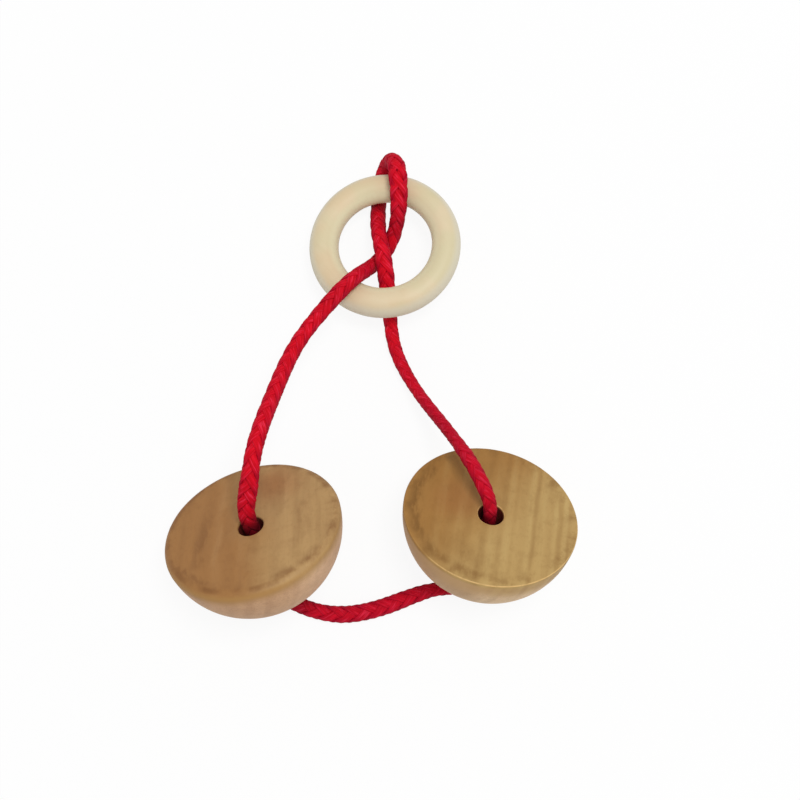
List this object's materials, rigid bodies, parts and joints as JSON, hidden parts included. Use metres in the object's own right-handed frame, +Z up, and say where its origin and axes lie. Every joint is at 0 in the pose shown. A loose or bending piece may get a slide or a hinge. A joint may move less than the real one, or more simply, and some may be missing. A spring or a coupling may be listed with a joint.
{
  "type": "wooden rope puzzle",
  "caption": "Rope puzzle: bored wooden half-balls strung on a closed loop of braided cord, with a turned wooden ring caught in the loop.",
  "frame": {"origin": "on the table, under the middle of the wooden pieces' bounding box", "axes": "+Z up from the table, +X from the left half-ball to the right one, +Y from the half-balls to the ring"},
  "size_m": [0.1269, 0.1541, 0.046],
  "materials": {
    "left_half_ball_wood": "satin",
    "right_half_ball_wood": "satin",
    "ring_wood": "satin",
    "cord": "woven"
  },
  "bodies": {
    "cord": {"cord_upper_run": "cord", "cord_lower_run": "cord"},
    "left_half_ball": {"left_half_ball": "left_half_ball_wood"},
    "right_half_ball": {"right_half_ball": "right_half_ball_wood"},
    "ring": {"ring": "ring_wood"}
  },
  "joints": [
    {"name": "left_half_ball_slide", "type": "slide", "parent": "cord", "child": "left_half_ball", "axis": [-0.2179, 0.6327, 0.7431], "range_m": [0, 0.007]},
    {"name": "right_half_ball_turn", "type": "hinge", "parent": "cord", "child": "right_half_ball", "pos_m": [0.03675, -0.04175, 0.0285], "axis": [0.1388, 0.5565, 0.8192], "continuous": true},
    {"name": "ring_turn", "type": "hinge", "parent": "cord", "child": "ring", "pos_m": [0.004, 0.048, 0.01233], "axis": [-0.0839, 0.1, 0.9914], "continuous": true}
  ]
}
